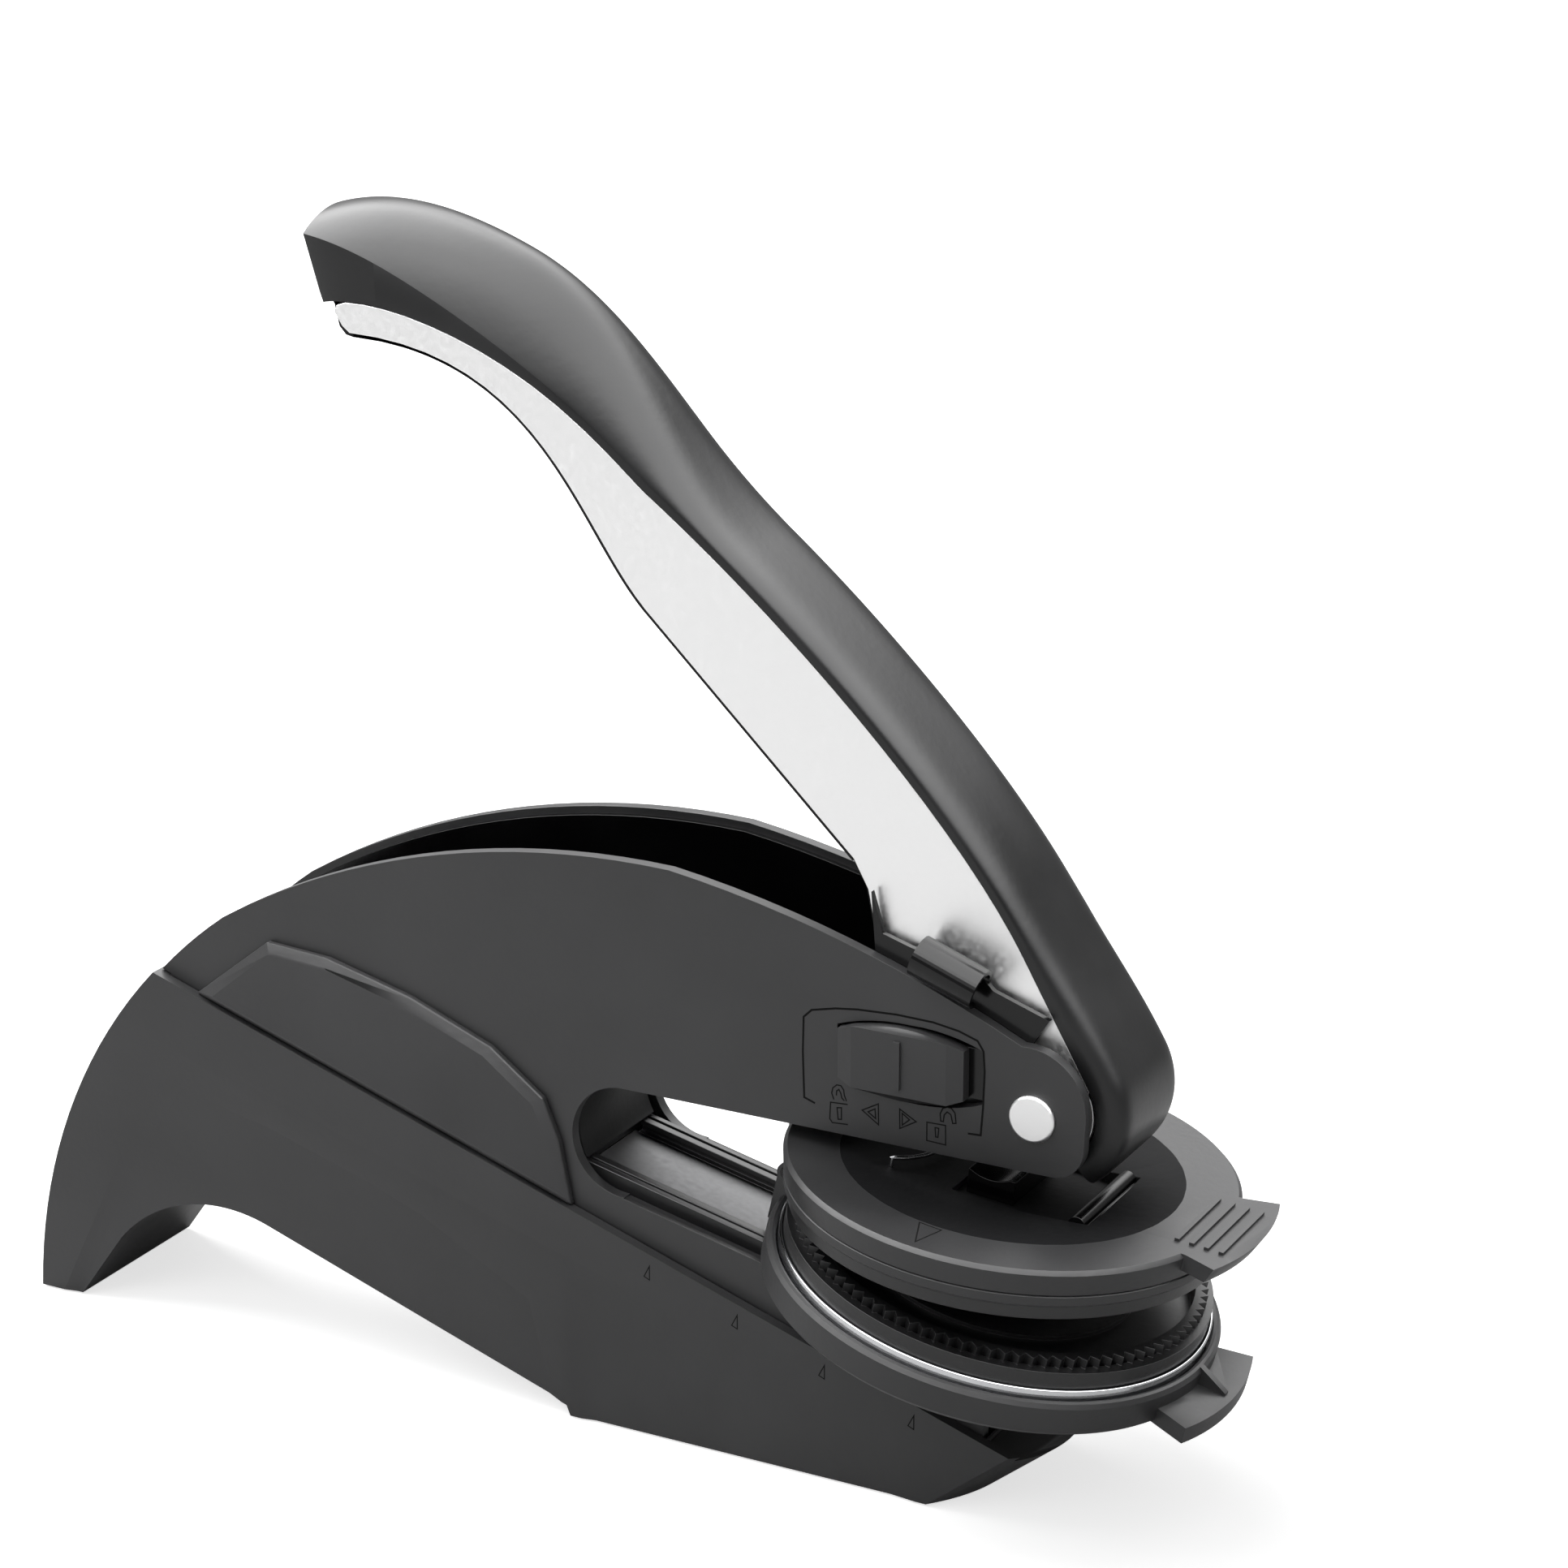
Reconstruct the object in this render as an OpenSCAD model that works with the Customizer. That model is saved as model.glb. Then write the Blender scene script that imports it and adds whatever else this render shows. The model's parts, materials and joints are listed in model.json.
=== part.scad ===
// Desk seal embosser: a curved body on an arched base, a long press handle on a
// pivot pin, and a clip of two hinged discs that holds the embossing dies.
// Frame: +X towards the discs, +Y to the far side, +Z up, ground at z = 0,
// origin under the middle of the length. The side seen first is at -Y.

/* [Base skirt] */
// Half width of the base skirt
skirt_half = 12.9; // [12.2:0.1:15]
// Wall thickness of the skirt
skirt_t = 1.5; // [1.2:0.05:1.6]
// Radius of the curved back of the base
back_r = 79.4; // [79:0.1:80]
// Height of the split line above the origin
split_z = 29.2; // [28.5:0.1:30]
// Fall of the split line towards the front, in degrees
split_tilt = 18.1; // [17.5:0.1:18.6]
// Radius of the arch between the feet
arch_r = 22.9; // [22:0.1:23.5]
// Front edge of the foot on the ground
foot_front_x = 55; // [54:0.5:57]
// Depth of the bevelled panels in the sides
panel_depth = 0.4; // [0.25:0.05:0.6]
// Thickness of the rubber feet
pad_t = 1.2; // [1:0.1:1.5]

/* [Side walls] */
// Half width over the side walls
wall_half = 11.2; // [11:0.05:11.25]
// Thickness of a side wall
wall_t = 1.6; // [1.4:0.05:1.6]
// Radius of the long curve of the wall's top
crown_r = 120.7; // [120:0.1:121.5]
// Thickness of the inner steel cheeks
cheek_t = 0.8; // [0.6:0.05:0.85]
// Height of the arm's underside above the ground
arm_z = 47.1; // [46.9:0.1:47.4]
// Height of the bare raised side badge's face above the wall
badge_t = 1.6; // [1:0.1:2]

/* [Throat and jaw] */
// Radius of the throat's round end
throat_r = 7.5; // [7:0.1:7.8]
// Fall of the lower jaw towards the front, in degrees
jaw_tilt = 13; // [12.5:0.1:13.5]
// Height of the rails above the jaw walls
rail_rise = 1.4; // [1.1:0.1:1.6]
// Width of one slide rail
rail_w = 2.6; // [2.2:0.1:2.8]

/* [Clip] */
// Radius of the lower disc
ring_r = 29.1; // [28.8:0.1:30]
// Height of the lower disc's wall
ring_h = 4.6; // [4.2:0.1:5]
// Radius of the upper disc
lid_r = 28.5; // [28:0.1:29]
// Thickness of the upper disc
lid_h = 4.9; // [4.6:0.1:5.2]
// Thickness of the upper die below its disc
upper_die_h = 1.9; // [1.6:0.1:2.2]
// Width of the lower disc's rim round the die
rim_w = 1.9; // [1.8:0.05:2.3]
// Height of the serrations above the lower disc's rim
die_top = 4.4; // [4.1:0.1:4.5]
// Number of serrations round the die
tooth_count = 96; // [72:4:120]
// Paper space left between the closed dies
paper_gap = 0.6; // [0.5:0.05:0.8]
// Angle that the clip stands open at rest, in degrees
lid_open = 7; // [6:0.5:7.5]
// Reach of the finger tabs beyond their disc
tab_reach = 4.6; // [3.5:0.1:5.5]

/* [Handle] */
// Height of the pivot pin
pin_z = 54.2; // [54:0.1:54.6]
// Radius of the pivot pin
pin_r = 2.2; // [1.8:0.1:2.4]
// Radius of the pin's flat head
pin_head_r = 3; // [2.8:0.1:3.6]
// Half width of the handle
lever_half = 8.4; // [8:0.05:8.45]
// Thickness of the bright side plates
plate_t = 1; // [0.8:0.05:1.1]
// Height of the grip at its thickest
grip_h = 12.6; // [12:0.1:13.2]
// Height of the cover over the elbow
elbow_h = 2.5; // [2.3:0.1:2.7]
// How much more the cover bulges at the elbow's outer corner
bend_h = 1.4; // [1.1:0.1:1.6]
// Radius of the roller that presses the clip
roller_r = 3; // [2.8:0.05:3.1]

/* [Lock] */
// Width of the lock button
button_w = 17; // [15:0.5:17.5]
// Height that the button stands out of the wall
button_rise = 1.2; // [0.8:0.1:1.6]
// Travel of the lock button
lock_travel = 2; // [1:0.1:2.2]

/* [Hidden] */

$fn = 96;
fit = 0.05;          // radial clearance of a pin that turns
snug = 0.02;         // radial clearance of a fixed screw or pin
run = 0.3;           // gap between pieces that move past each other
seat = 0.1;          // gap between fixed pieces that are dropped in
eps = 0.01;

// Places in the side view, as [x, z]
pin = [62.3, pin_z];
back_c = [-8.4, -4.1];
crown_c = [7.9, -43.1];
brow_c = [-9.4, -83.9];      // centre of the falling front part of the top
brow_r = 162.9;
arch_c = [back_c[0] - back_r + 31.5, arch_r * 0.8 - 22.9];
throat_c = [5.6, arm_z - throat_r];
skirt_lift = 0.3;            // the skirt's edge hangs just clear of the ground
deck_x = foot_front_x + 2;   // the closed deck in front of the jaw starts here
rear_x = back_c[0] - sqrt(back_r * back_r - pow(skirt_lift - back_c[1], 2));

// Heights along the split line and along the jaw
function split_at(x) = split_z - tan(split_tilt) * x;
function jaw_at(x) = throat_c[1] - throat_r / cos(jaw_tilt) - tan(jaw_tilt) * (x - throat_c[0]);

// The clip's own frame: origin at the centre of the lower disc's rim, tipped with the jaw
clip_x = 52.6;
clip_z = jaw_at(clip_x) + (rail_rise + run + ring_h) / cos(jaw_tilt);
die_r = ring_r - rim_w;
hinge_back = ring_r - 0.5;   // from the disc's centre back to the clip's hinge pin
hinge_up = 3;                // from the lower rim up to the hinge pin
knuckle_r = 1.4;
knuckle_half = 2.6;          // half width of the lid's knuckle, between the two ears
lid_top = die_top + paper_gap - hinge_up + upper_die_h + lid_h;
hinge = [clip_x - hinge_back * cos(jaw_tilt) + hinge_up * sin(jaw_tilt),
         clip_z + hinge_back * sin(jaw_tilt) + hinge_up * cos(jaw_tilt)];
tab_tip = lid_r + tab_reach;

// Widths across the handle slot
cheek_out = wall_half - wall_t - seat / 2;
cheek_in = cheek_out - cheek_t;
core_half = lever_half - plate_t - 0.2;

// Curves
function arc(c, r, a0, a1, n = 24) =
    [for (i = [0:n]) c + r * [cos(a0 + (a1 - a0) * i / n), sin(a0 + (a1 - a0) * i / n)]];
function bezier(p, t) = pow(1 - t, 3) * p[0] + 3 * pow(1 - t, 2) * t * p[1]
    + 3 * (1 - t) * t * t * p[2] + pow(t, 3) * p[3];
function curve(p, n = 24) = [for (i = [0:n]) bezier(p, i / n)];
function unit(v) = v / norm(v);
function turned(v) = [-v[1], v[0]];
function tangent(p, i) = unit(p[min(i + 1, len(p) - 1)] - p[max(i - 1, 0)]);
function shifted(p, d) = [for (i = [0:len(p) - 1]) p[i] + d * turned(tangent(p, i))];
function flipped(p) = [for (i = [len(p) - 1:-1:0]) p[i]];
function lengths(p, i = 0, s = 0) =
    i == len(p) ? [] : let (d = i == 0 ? 0 : norm(p[i] - p[i - 1]))
    concat([s + d], lengths(p, i + 1, s + d));

// A side-view outline made solid from y0 to y1
module slab(y0, y1) {
    translate([0, y1, 0]) rotate([90, 0, 0]) linear_extrude(y1 - y0) children();
}
// The same piece on both sides, or on one: side = -1 is the near side
module on_side(side) {
    if (side < 0) children();
    else mirror([0, 1, 0]) children();
}
// A round bar or hole across the width, centred at p in the side view
module crossbar(p, r, y0, y1) {
    translate([p[0], y1, p[1]]) rotate([90, 0, 0]) cylinder(r = r, h = y1 - y0);
}
module in_clip() translate([clip_x, 0, clip_z]) rotate([0, jaw_tilt, 0]) children();
module in_lid() {
    translate([hinge[0], 0, hinge[1]]) rotate([0, jaw_tilt - lid_open, 0])
        translate([hinge_back, 0, lid_top]) children();
}

// ---------------------------------------------------------------- base skirt
arch_in = 140.3;     // angles where the arch leaves its round top
arch_out = 71.6;
module arch_2d(grow = 0) {
    polygon(concat([[arch_c[0] - 26.4 - grow, -2]],
        arc(arch_c, arch_r + grow, arch_in, arch_out),
        [[-2.5 + grow, 1.7 + grow], [-1 + grow, -2]]));
}
module skirt_2d(inset = 0, low = skirt_lift) {
    difference() {
        intersection() {
            union() {
                translate(back_c) circle(r = back_r - inset, $fn = 240);
                translate([0, -20]) square([90, 80]);
            }
            polygon([[-95, low], [80, low], [80, split_at(80)], [-95, split_at(-95)]]);
        }
        arch_2d(inset);
    }
}
bow_r = 26;          // the front end bows forward in plan
bow_rise = 39;       // and leans forward, in degrees above the ground
module skirt_bow(inset = 0) {
    difference() {
        translate([30, -20, -5]) cube([60, 40, 60]);
        translate([foot_front_x, 0, skirt_lift]) rotate([0, 90 - bow_rise, 0])
            translate([-bow_r, 0, -70]) cylinder(r = bow_r - inset, h = 140, $fn = 240);
    }
}
// A shallow panel in the side, its border bevelled: a convex outline sunk and drawn in
module panel_cut(outline, inset_outline) {
    hull() {
        slab(-skirt_half - 1, -skirt_half) polygon(outline);
        slab(-skirt_half - 1, -skirt_half + panel_depth) polygon(inset_outline);
    }
}
rear_panel = [[-86, -4], [-80.4, 6.5], [-76.4, 15.5], [-71, 26.4], [-63.2, 36.6], [-48, 33.6],
              [-33, 29.2], [-24, 25.9], [-6.4, 16.6], [-3.4, 5.1], [-3, -4]];
rear_panel_in = [[-84, -4], [-78.2, 6.8], [-74.2, 15.2], [-69.2, 25], [-62.2, 34.4], [-48.4, 31.6],
                 [-33.6, 27.2], [-24.6, 24], [-8.3, 15.4], [-5.4, 4.7], [-5, -4]];
front_panel = [[-3, 22.9], [9.7, 19.6], [25.6, 13.6], [39.7, 7.2], [44.8, 3.2], [48, 0.4], [49.5, -1.5],
               [0, -1.5], [-1.2, 5]];
front_panel_in = [[-1, 20.5], [9.2, 17.7], [24.8, 11.8], [38.4, 5.7], [43, 2.1], [46, -1.5],
                  [2, -1.5], [0.9, 5]];
screw_x = [7.5, 41];
bar_low = 3.1;       // cross bars that the foot's screws bite into
bar_high = 8;
module base_skirt() {
    color("dimgray") difference() {
        union() {
            difference() {
                slab(-skirt_half, skirt_half) skirt_2d();
                difference() {
                    slab(-skirt_half + skirt_t, skirt_half - skirt_t) difference() {
                        skirt_2d(skirt_t, -1);
                        polygon([[-95, -2], [-60, -2], [-60, 6], [-95, 6]]);
                        translate([deck_x, -5]) square([40, 60]);
                    }
                    skirt_bow(skirt_t);
                }
                translate([deck_x - eps, -skirt_half + skirt_t, split_at(deck_x) - 1])
                    rotate([0, split_tilt, 0]) cube([40, 2 * (skirt_half - skirt_t), 5]);
            }
            for (x = screw_x)
                translate([x - 2.4, -skirt_half + 1, bar_low])
                    cube([4.8, 2 * skirt_half - 2, bar_high - bar_low]);
        }
        skirt_bow();
        for (x = screw_x) translate([x, 0, 0]) cylinder(r = 1.5 + snug, h = bar_high - 1);
        for (s = [-1, 1]) on_side(s) {
            panel_cut(rear_panel, rear_panel_in);
            panel_cut(front_panel, front_panel_in);
        }
    }
}
plate_x0 = 1;
plate_x1 = foot_front_x - 5;
module base_plate() {
    color("black") difference() {
        translate([plate_x0, -skirt_half + skirt_t + seat, pad_t])
            cube([plate_x1 - plate_x0 - seat, 2 * (skirt_half - skirt_t - seat), 1.8]);
        for (x = screw_x) translate([x, 0, 0]) cylinder(r = 1.5 + snug, h = 9);
    }
}
module front_foot_pad() {
    color("black") difference() {
        linear_extrude(pad_t) polygon([[13, -9], [35, -9], [37.5, -6.5], [37.5, 6.5], [35, 9],
                                       [13, 9], [11, 6.5], [11, -6.5]]);
        for (x = [16, 24, 32]) translate([x, 0, -1]) cylinder(r = 2, h = 1.4);
    }
}
// The strip glued under the back leg
module rear_foot_pad() {
    color("black") translate([rear_x + 0.7, 2 - skirt_half, 0]) cube([3.6, 2 * skirt_half - 4, skirt_lift]);
}
module base_screws() {
    color("silver") for (x = screw_x) translate([x, 0, 0]) difference() {
        union() {
            translate([0, 0, pad_t - 1]) cylinder(r = 2.8, h = 1);
            translate([0, 0, pad_t - eps]) cylinder(r = 1.5, h = 5.5);
        }
        translate([-2, -0.4, 0]) cube([4, 0.8, pad_t - 0.6]);
    }
}

// ---------------------------------------------------------------- walls and cheeks
bury = 6;            // how far the walls reach down inside the skirt
jaw_front_x = deck_x - 0.5;
window_grow = 0.5;
module throat_2d(grow = 0, drop = 0) {
    r = throat_r + grow;
    translate(throat_c) circle(r = r, $fn = 120);
    polygon([throat_c + [0, r], [120, throat_c[1] + r], [120, jaw_at(120) - grow / cos(jaw_tilt) - drop],
             [throat_c[0], jaw_at(throat_c[0]) - grow / cos(jaw_tilt) - drop]]);
}
module nose_2d(inset = 0) {
    translate(pin + [-0.9, 1.2]) circle(r = 7.8 - inset);
    translate(pin + [2.6, -3]) circle(r = 4.1 - inset);
    polygon([pin + [-14, -7.1 + inset], pin + [2.6, -7.1 + inset], pin + [6.7 - inset, -3],
             pin + [6.9 - inset, 1.2], pin + [0, 8.6 - inset], pin + [-14, 10]]);
}
module wall_2d(inset = 0, base = bury) {
    front = jaw_front_x - inset;
    difference() {
        union() {
            intersection() {
                translate(crown_c) circle(r = crown_r - inset, $fn = 360);
                translate(brow_c) circle(r = brow_r - inset, $fn = 360);
                union() {
                    translate(back_c) circle(r = back_r - 0.2 - inset, $fn = 240);
                    translate([-25, -20]) square([115, 120]);
                }
                polygon([[-95, split_at(-95) + 0.2], [-95, 120], [pin[0] - 0.9, 120], [pin[0] - 0.9, 30],
                         [front, 30], [front, split_at(front) + 0.2]]);
            }
            intersection() {
                union() {
                    translate(back_c) circle(r = back_r - skirt_t - seat - inset, $fn = 240);
                    translate([0, -20]) square([90, 120]);
                }
                polygon([[-95, split_at(-95) + 0.5], [front, split_at(front) + 0.5],
                         [front, split_at(front) - base + inset], [-95, split_at(-95) - base + inset]]);
            }
            nose_2d(inset);
        }
        throat_2d(inset);
    }
}
bolt_places = [[-46, 46], [-14, 40], [38, split_at(38) + 1.9]];
button_c = [44.9, 58.1];
// The button's face: a barrel outline with bowed long edges
module button_2d(grow = 0) {
    intersection() {
        translate(button_c + [0, -20.3]) circle(r = 25 + grow, $fn = 120);
        translate(button_c + [0, 20.3]) circle(r = 25 + grow, $fn = 120);
        translate(button_c + [-button_w / 2 - grow, -8]) square([button_w + 2 * grow, 16]);
    }
}
module slot_2d() {
    button_2d(0.35);
    translate([lock_travel, 0]) button_2d(0.35);
}
slider_w = 22;
slider_h = 6.6;
module slider_2d(grow = 0, slide = 0) {
    translate(button_c + [-slider_w / 2 - grow, -slider_h / 2 - grow])
        square([slider_w + slide + 2 * grow, slider_h + 2 * grow]);
}
slider_t = 0.4;      // the slider lies in a pocket in the wall's inner face
pocket_t = slider_t + 2 * run;
module wall(has_lock) {
    color("dimgray") difference() {
        slab(-wall_half, -wall_half + wall_t) wall_2d();
        crossbar(pin, pin_r + snug, -wall_half - 1, 0);
        for (p = bolt_places) crossbar(p, 1.5 + snug, -wall_half + 0.7, 0);
        if (has_lock) {
            slab(-wall_half - 1, 0) slot_2d();
            slab(-wall_half + wall_t - pocket_t, 0) slider_2d(run, lock_travel);
        }
    }
}
module wall_right() wall(true);
module wall_left() on_side(1) wall(false);

// The bare raised badge above the split line
badge_outline = [[-59.3, split_at(-59.3) + seat], [-47.6, 57.9], [-38, 57.3], [-25.6, 54.2], [-13.4, 49.6],
                 [-5.7, 43.9], [-3.4, 38.4], [-1.7, split_at(-1.7) + seat]];
module badge() {
    color("dimgray") hull() {
        slab(-wall_half - badge_t + 0.7, -wall_half) polygon(badge_outline);
        slab(-wall_half - badge_t, -wall_half) polygon([[-56.6, split_at(-56.6) + 1], [-46.9, 56.6],
            [-38.2, 56], [-26.1, 52.9], [-14.2, 48.4], [-6.9, 43], [-4.8, 38], [-3.2, split_at(-3.2) + 1]]);
    }
}
module badge_right() badge();
module badge_left() on_side(1) badge();

// Steel cheek: a C-shaped plate inside each wall, its top edge raised behind the nose
module cheek() {
    color("#1a1a1a") difference() {
        union() {
            slab(-cheek_out, -cheek_in) wall_2d(1, bury - 1);
            slab(-cheek_out, -cheek_in)
                polygon([[38, 62], [40.4, 70], [39.7, 78.7], [41.3, 73.6], [44.9, 72.5], [54.5, 70.4],
                         [56.1, 68.8], [63.5, 66.3], [61.1, 62.6], [52, 58], [40, 56]]);
        }
        slab(-cheek_out - 1, -cheek_in + 1) throat_2d(1.2);
        crossbar(pin, pin_r + snug, -wall_half, 0);
        for (p = bolt_places) crossbar(p, 1.5 + snug, -wall_half, 0);
    }
}
// The near cheek ends in a curled tongue that stands over the wall's top edge
tongue_r = 2.6;
tongue_t = 0.6;
tongue_len = 8.8;
module cheek_right() {
    cheek();
    color("#1a1a1a") translate([51.2, -cheek_in - tongue_r - 0.1, 71]) rotate([0, 20, 0]) difference() {
        rotate([0, 90, 0]) translate([0, 0, -tongue_len / 2])
            cylinder(r = tongue_r, h = tongue_len, $fn = 48);
        rotate([0, 90, 0]) translate([0, 0, -tongue_len])
            cylinder(r = tongue_r - tongue_t, h = 2 * tongue_len, $fn = 48);
        translate([-9, 0, -9]) cube([18, 9, 9]);
    }
}
module cheek_left() on_side(1) cheek();

module frame_spacers() {
    color("silver") for (p = bolt_places) difference() {
        crossbar(p, 2.6, -cheek_in + snug, cheek_in - snug);
        crossbar(p, 1.5 + snug, -wall_half, wall_half);
    }
}
module frame_screws() {
    color("silver") for (p = bolt_places) crossbar(p, 1.5, -wall_half + 0.75, wall_half - 0.75);
}

// The smooth lining of the throat: arm floor, round back and a lip onto the jaw
module throat_liner() {
    t = 1.5;
    color("black") slab(-cheek_in + seat, cheek_in - seat) difference() {
        union() {
            translate(throat_c) circle(r = throat_r + window_grow + t, $fn = 120);
            translate([throat_c[0], arm_z + window_grow]) square([30, t]);
        }
        throat_2d(window_grow);
        translate([throat_c[0] + 1.5, -20]) square([60, 20 + throat_c[1]]);
        translate([clip_x, clip_z]) rotate(-jaw_tilt) translate([rail_back - seat, -40])
            square([60, 40 + rail_z + 0.4]);
    }
}

// Grooved slide rails beside the polished jaw plate; the clip's tang runs in the grooves
tang_t = 1.7;        // the tang hangs this far below the lower disc
tang_lip = 0.4;
rail_in = cheek_in - seat - rail_w;
rail_back = -54.6;
rail_front = 3.6;
rail_z = -ring_h - run;
module rail() {
    color("#202020") in_clip() difference() {
        translate([rail_back, -cheek_in + seat, rail_z - 4]) cube([rail_front - rail_back, rail_w, 4]);
        translate([rail_back - 1, -rail_in - 1.7, rail_z - 0.4]) cube([70, 0.5, 1]);
        translate([rail_back - 1, -rail_in - 0.8, -ring_h - tang_t - run]) cube([70, 1, tang_lip + 2 * run]);
    }
}
module rail_right() rail();
module rail_left() on_side(1) rail();
module jaw_plate() {
    color("silver") in_clip()
        translate([rail_back - 0.5, -rail_in + seat, -ring_h - tang_t - run - 1.2])
            cube([rail_front - rail_back, 2 * (rail_in - seat), 1.2]);
}
// The crosspiece that closes the front of the jaw
module jaw_front() {
    color("#303030") slab(-cheek_in + seat, cheek_in - seat)
        polygon([[jaw_front_x - 1.8, 6], [jaw_front_x - 0.2, 6], [jaw_front_x - 0.2, 16.4],
                 [jaw_front_x - 1.8, 16.8]]);
}

module pivot_pin() {
    color("white") union() {
        crossbar(pin, pin_r, -wall_half - 0.01, wall_half);
        translate([pin[0], -wall_half, pin[1]]) rotate([90, 0, 0]) {
            cylinder(r = pin_head_r, h = 0.35);
            translate([0, 0, 0.35]) cylinder(r1 = pin_head_r, r2 = pin_head_r - 0.25, h = 0.25);
        }
    }
}
module pivot_cap() {
    color("white") translate([pin[0], wall_half + seat, pin[1]]) rotate([-90, 0, 0]) {
        cylinder(r = pin_head_r, h = 0.35);
        translate([0, 0, 0.35]) cylinder(r1 = pin_head_r, r2 = pin_head_r - 0.25, h = 0.25);
    }
}

// ---------------------------------------------------------------- handle
// The seam under the cover runs as one free curve and then round the pivot
wrap_r = 7;
wrap_start = 30;
wrap_end = -54;
wrap_in = pin + wrap_r * [cos(wrap_start), sin(wrap_start)];
seam_end = wrap_in + 18 * [-0.5, 0.866];
seam_curve = [[-37, 143.2], [-12.9, 147.3], seam_end + 29 * [-0.5, 0.866], seam_end];
seam_n = 30;
seam = concat(curve(seam_curve, seam_n), [for (i = [1:4]) seam_end + (wrap_in - seam_end) * i / 4],
              [for (i = [1:10]) pin + wrap_r * [cos(wrap_start + (wrap_end - wrap_start) * i / 10),
                                               sin(wrap_start + (wrap_end - wrap_start) * i / 10)]]);
along = lengths(seam);
function eased(x) = 0.5 + 0.5 * cos(180 * min(max(x, 0), 1));
bend_s = along[seam_n + 4];              // length along the seam where it meets the pivot's arc
function bent(s) = 1 - eased((s - bend_s + 24) / 24);
function side_h(s) = 0.8 + 7.9 * exp(-s / 14) + 0.4 * bent(s);
function full_h(s) = (elbow_h + (grip_h - elbow_h) * eased((s - 20) / 44) + bend_h * bent(s))
    * (1 - 0.07 * exp(-s / 8));
// The free end swells backwards, most at half its height
function swell(h, s) = 1.75 * max(1 - pow((h - 5.5) / 5.5, 2), 0) * exp(-s / 15);
function roundness(s) = 2.2 + 2.6 * (1 - eased((s - 20) / 60)) + 7 * bent(s);
function shoulder(s) = 1.25 + 0.75 * (1 - eased((s - 20) / 60));
function width(s) = lever_half * (1 - 0.08 * exp(-s / 2.5));
channel = 1.4;       // depth of the cover's channel, which the core fills
crown_n = 12;
// One cross-section of the cover as [y, height above the seam]
function crown(y, s) = side_h(s) + max(full_h(s) - side_h(s), 0.2)
    * pow(max(1 - pow(abs(y) / width(s), roundness(s)), 0), 1 / shoulder(s));
function section(s) = concat(
    [[-width(s), 0]],
    [for (i = [0:crown_n]) let (y = -width(s) * cos(180 * i / crown_n)) [y, crown(y, s)]],
    [[width(s), 0], [core_half + snug, 0], [core_half + snug, channel],
     [-core_half - snug, channel], [-core_half - snug, 0]]);
function placed(i, q) =
    let (t = tangent(seam, i), p = seam[i] + q[1] * turned(t) - swell(q[1], along[i]) * t)
    [p[0], q[0], p[1]];
module handle_cover() {
    rings = [for (i = [0:len(seam) - 1]) [for (q = section(along[i])) placed(i, q)]];
    m = len(rings[0]);
    k = len(rings);
    points = [for (r = rings) each r];
    sides = [for (i = [0:k - 2]) for (j = [0:m - 1]) let (a = i * m + j, b = i * m + (j + 1) % m)
        each [[a, b, b + m], [a, b + m, a + m]]];
    // Each end: a fan over each half of the crown, and the two lips beside the channel
    h = crown_n / 2 + 1;
    fans = concat([for (j = [1:h - 1]) [m - 2, j, j + 1]], [[m - 2, h, m - 3]],
        [for (j = [h:crown_n]) [m - 3, j, j + 1]],
        [[0, 1, m - 2], [0, m - 2, m - 1], [m - 6, m - 5, m - 4], [m - 6, m - 4, m - 3]]);
    color("gray") polyhedron(points = points, faces = concat(sides, [for (f = fans) [f[2], f[1], f[0]]],
        [for (f = fans) [for (j = f) j + (k - 1) * m]]), convexity = 6);
}
// Lower edge of the bright plates: round under the grip, then straight down to the pivot
plate_curve = [[-34, 139.6], [-5.9, 139.4], [-1.5, 118.9], [8, 109.4]];
belly = concat(curve(plate_curve, 20), [[36.6, 82], [38.6, 78.4], [40.3, 70], [46, 59]]);
boss_r = 6.6;
module lever_2d(top, low, start) {
    upper = shifted(seam, top);
    lower = shifted(belly, low);
    first = upper[0] + [start, 0];       // the end is cut at a slant, its corners eased
    polygon(concat([for (i = [1:seam_n + 4]) upper[i]], [pin + [5.2, 2.2], pin + [1, -4.5], pin + [-7, -2]],
                   flipped(lower), [first + [0.55, -2.7], first + [-0.55, -1], first + [-0.2, -0.2]]));
}
roller_out = 12;     // from the pivot to the roller's pin
roller_angle = 215;
roller = pin + roller_out * [cos(roller_angle), sin(roller_angle)];
fork_half = 4;
spring_in = 1.8;     // inner end of the spring pocket, outer end is at the core's face
rivet_places = [[-6, 130.6], [14, 110.6], [47.5, 82.5]];
module handle_core() {
    color("#181818") difference() {
        union() {
            slab(-core_half, core_half) lever_2d(channel - 0.04, -0.75, 0.45);
            slab(-core_half, core_half) intersection() {
                translate(pin) circle(r = wrap_r + channel - 0.04);
                translate(pin) polygon([[-2, -1], [-2, 7], [30, 30], [30, -41.2]]);
            }
            crossbar(pin, boss_r, -core_half, core_half);
            crossbar(roller, 2.3, -core_half, core_half);
            slab(-core_half, core_half)
                polygon([roller + [-2.1, 0.9], roller + [1.3, -1.85], pin + [0, -5], pin + [-4.4, 2.4]]);
        }
        crossbar(pin, pin_r + fit, -20, 20);
        crossbar(roller, 1.2 + snug, -20, 20);
        crossbar(roller, roller_r + 0.5, -fork_half, fork_half);
        crossbar(pin, 4.9, -core_half + 0.6, -spring_in);
        for (p = rivet_places) crossbar(p, 1.2 + snug, -20, 20);
    }
}
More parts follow.
